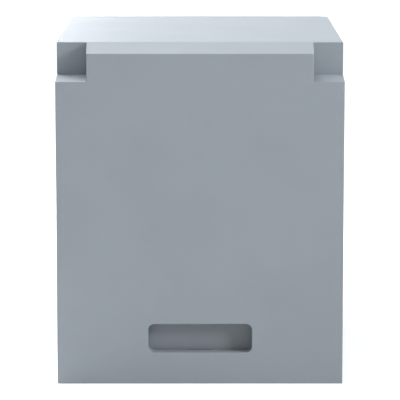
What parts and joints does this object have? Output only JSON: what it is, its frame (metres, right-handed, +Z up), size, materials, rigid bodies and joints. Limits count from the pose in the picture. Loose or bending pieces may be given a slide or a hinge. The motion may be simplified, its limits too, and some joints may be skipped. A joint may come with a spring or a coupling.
{
  "type": "beehive",
  "caption": "Insulated foam beehive with a front wall as high as its lid, corner grips, a shuttered entrance, hanging frames, feeder and mesh floor.",
  "frame": {"origin": "middle of the underside, where the hive stands", "axes": "+X to the hive's left-to-right seen from the front, +Y from the entrance to the back, +Z up"},
  "size_m": [0.47, 0.584, 0.56],
  "materials": {
    "painted_foam": "satin",
    "bare_foam": "matte",
    "shutter_plastic": "satin",
    "steel_mesh": "satin",
    "aluminium": "satin",
    "galvanised_steel": "satin",
    "zinc_screws": "polished",
    "frame_wood": "matte",
    "beeswax": "satin",
    "cleat_wood": "matte",
    "plywood": "matte",
    "feeder_plastic": "satin",
    "clear_plastic": "gloss"
  },
  "bodies": {
    "hive": {"front_wall": "painted_foam", "left_wall": "painted_foam", "right_wall": "painted_foam", "back_wall": "painted_foam", "floor_panel": "bare_foam", "floor_mesh": "steel_mesh", "mesh_clamp": "shutter_plastic", "drawer_runner_left": "aluminium", "drawer_runner_right": "aluminium", "entrance_cassette": "shutter_plastic", "entrance_block": "bare_foam", "frame_rail_front": "galvanised_steel", "frame_rail_back": "galvanised_steel", "crown_cleat_left": "cleat_wood", "crown_cleat_right": "cleat_wood", "clamp_screws": "zinc_screws", "rail_screws": "zinc_screws", "cleat_screws": "zinc_screws", "cassette_screws": "zinc_screws"},
    "lid": {"lid": "painted_foam"},
    "feeder": {"top_feeder": "feeder_plastic"},
    "feeder_hood": {"feeder_hood": "clear_plastic"},
    "crown_board": {"crown_board": "plywood"},
    "entrance_shutter": {"entrance_shutter": "shutter_plastic"},
    "varroa_drawer": {"varroa_drawer": "shutter_plastic", "varroa_board": "feeder_plastic"},
    "frame_01": {"frame_01": "frame_wood", "foundation_01": "beeswax"},
    "frame_02": {"frame_02": "frame_wood", "foundation_02": "beeswax"},
    "frame_03": {"frame_03": "frame_wood", "foundation_03": "beeswax"},
    "frame_04": {"frame_04": "frame_wood", "foundation_04": "beeswax"},
    "frame_05": {"frame_05": "frame_wood", "foundation_05": "beeswax"},
    "frame_06": {"frame_06": "frame_wood", "foundation_06": "beeswax"},
    "frame_07": {"frame_07": "frame_wood", "foundation_07": "beeswax"},
    "frame_08": {"frame_08": "frame_wood", "foundation_08": "beeswax"},
    "frame_09": {"frame_09": "frame_wood", "foundation_09": "beeswax"},
    "frame_10": {"frame_10": "frame_wood", "foundation_10": "beeswax"}
  },
  "joints": [
    {"name": "lid_lift", "type": "slide", "parent": "hive", "child": "lid", "axis": [0, 0, 1], "range_m": [0, 0.64]},
    {"name": "feeder_lift", "type": "slide", "parent": "hive", "child": "feeder", "axis": [0, 0, 1], "range_m": [0, 0.512]},
    {"name": "hood_lift", "type": "slide", "parent": "feeder", "child": "feeder_hood", "axis": [0, 0, 1], "range_m": [0, 0.0896]},
    {"name": "crown_board_lift", "type": "slide", "parent": "hive", "child": "crown_board", "axis": [0, 0, 1], "range_m": [0, 0.4928]},
    {"name": "frame_lift_01", "type": "slide", "parent": "hive", "child": "frame_01", "axis": [0, 0, 1], "range_m": [0, 0.48]},
    {"name": "frame_lift_02", "type": "slide", "parent": "hive", "child": "frame_02", "axis": [0, 0, 1], "range_m": [0, 0.48]},
    {"name": "frame_lift_03", "type": "slide", "parent": "hive", "child": "frame_03", "axis": [0, 0, 1], "range_m": [0, 0.48]},
    {"name": "frame_lift_04", "type": "slide", "parent": "hive", "child": "frame_04", "axis": [0, 0, 1], "range_m": [0, 0.48]},
    {"name": "frame_lift_05", "type": "slide", "parent": "hive", "child": "frame_05", "axis": [0, 0, 1], "range_m": [0, 0.48]},
    {"name": "frame_lift_06", "type": "slide", "parent": "hive", "child": "frame_06", "axis": [0, 0, 1], "range_m": [0, 0.48]},
    {"name": "frame_lift_07", "type": "slide", "parent": "hive", "child": "frame_07", "axis": [0, 0, 1], "range_m": [0, 0.48]},
    {"name": "frame_lift_08", "type": "slide", "parent": "hive", "child": "frame_08", "axis": [0, 0, 1], "range_m": [0, 0.48]},
    {"name": "frame_lift_09", "type": "slide", "parent": "hive", "child": "frame_09", "axis": [0, 0, 1], "range_m": [0, 0.48]},
    {"name": "frame_lift_10", "type": "slide", "parent": "hive", "child": "frame_10", "axis": [0, 0, 1], "range_m": [0, 0.48]},
    {"name": "shutter_slide", "type": "slide", "parent": "hive", "child": "entrance_shutter", "axis": [0, 0, 1], "range_m": [0, 0.0275]},
    {"name": "drawer_slide", "type": "slide", "parent": "hive", "child": "varroa_drawer", "axis": [0, 1, 0], "range_m": [0, 0.472]}
  ],
  "couplings": [
    {"joint": "feeder_lift", "follows": "lid_lift", "ratio": 0.8},
    {"joint": "hood_lift", "follows": "lid_lift", "ratio": 0.14},
    {"joint": "crown_board_lift", "follows": "lid_lift", "ratio": 0.77},
    {"joint": "frame_lift_01", "follows": "lid_lift", "ratio": 0.75},
    {"joint": "frame_lift_02", "follows": "lid_lift", "ratio": 0.75},
    {"joint": "frame_lift_03", "follows": "lid_lift", "ratio": 0.75},
    {"joint": "frame_lift_04", "follows": "lid_lift", "ratio": 0.75},
    {"joint": "frame_lift_05", "follows": "lid_lift", "ratio": 0.75},
    {"joint": "frame_lift_06", "follows": "lid_lift", "ratio": 0.75},
    {"joint": "frame_lift_07", "follows": "lid_lift", "ratio": 0.75},
    {"joint": "frame_lift_08", "follows": "lid_lift", "ratio": 0.75},
    {"joint": "frame_lift_09", "follows": "lid_lift", "ratio": 0.75},
    {"joint": "frame_lift_10", "follows": "lid_lift", "ratio": 0.75}
  ]
}
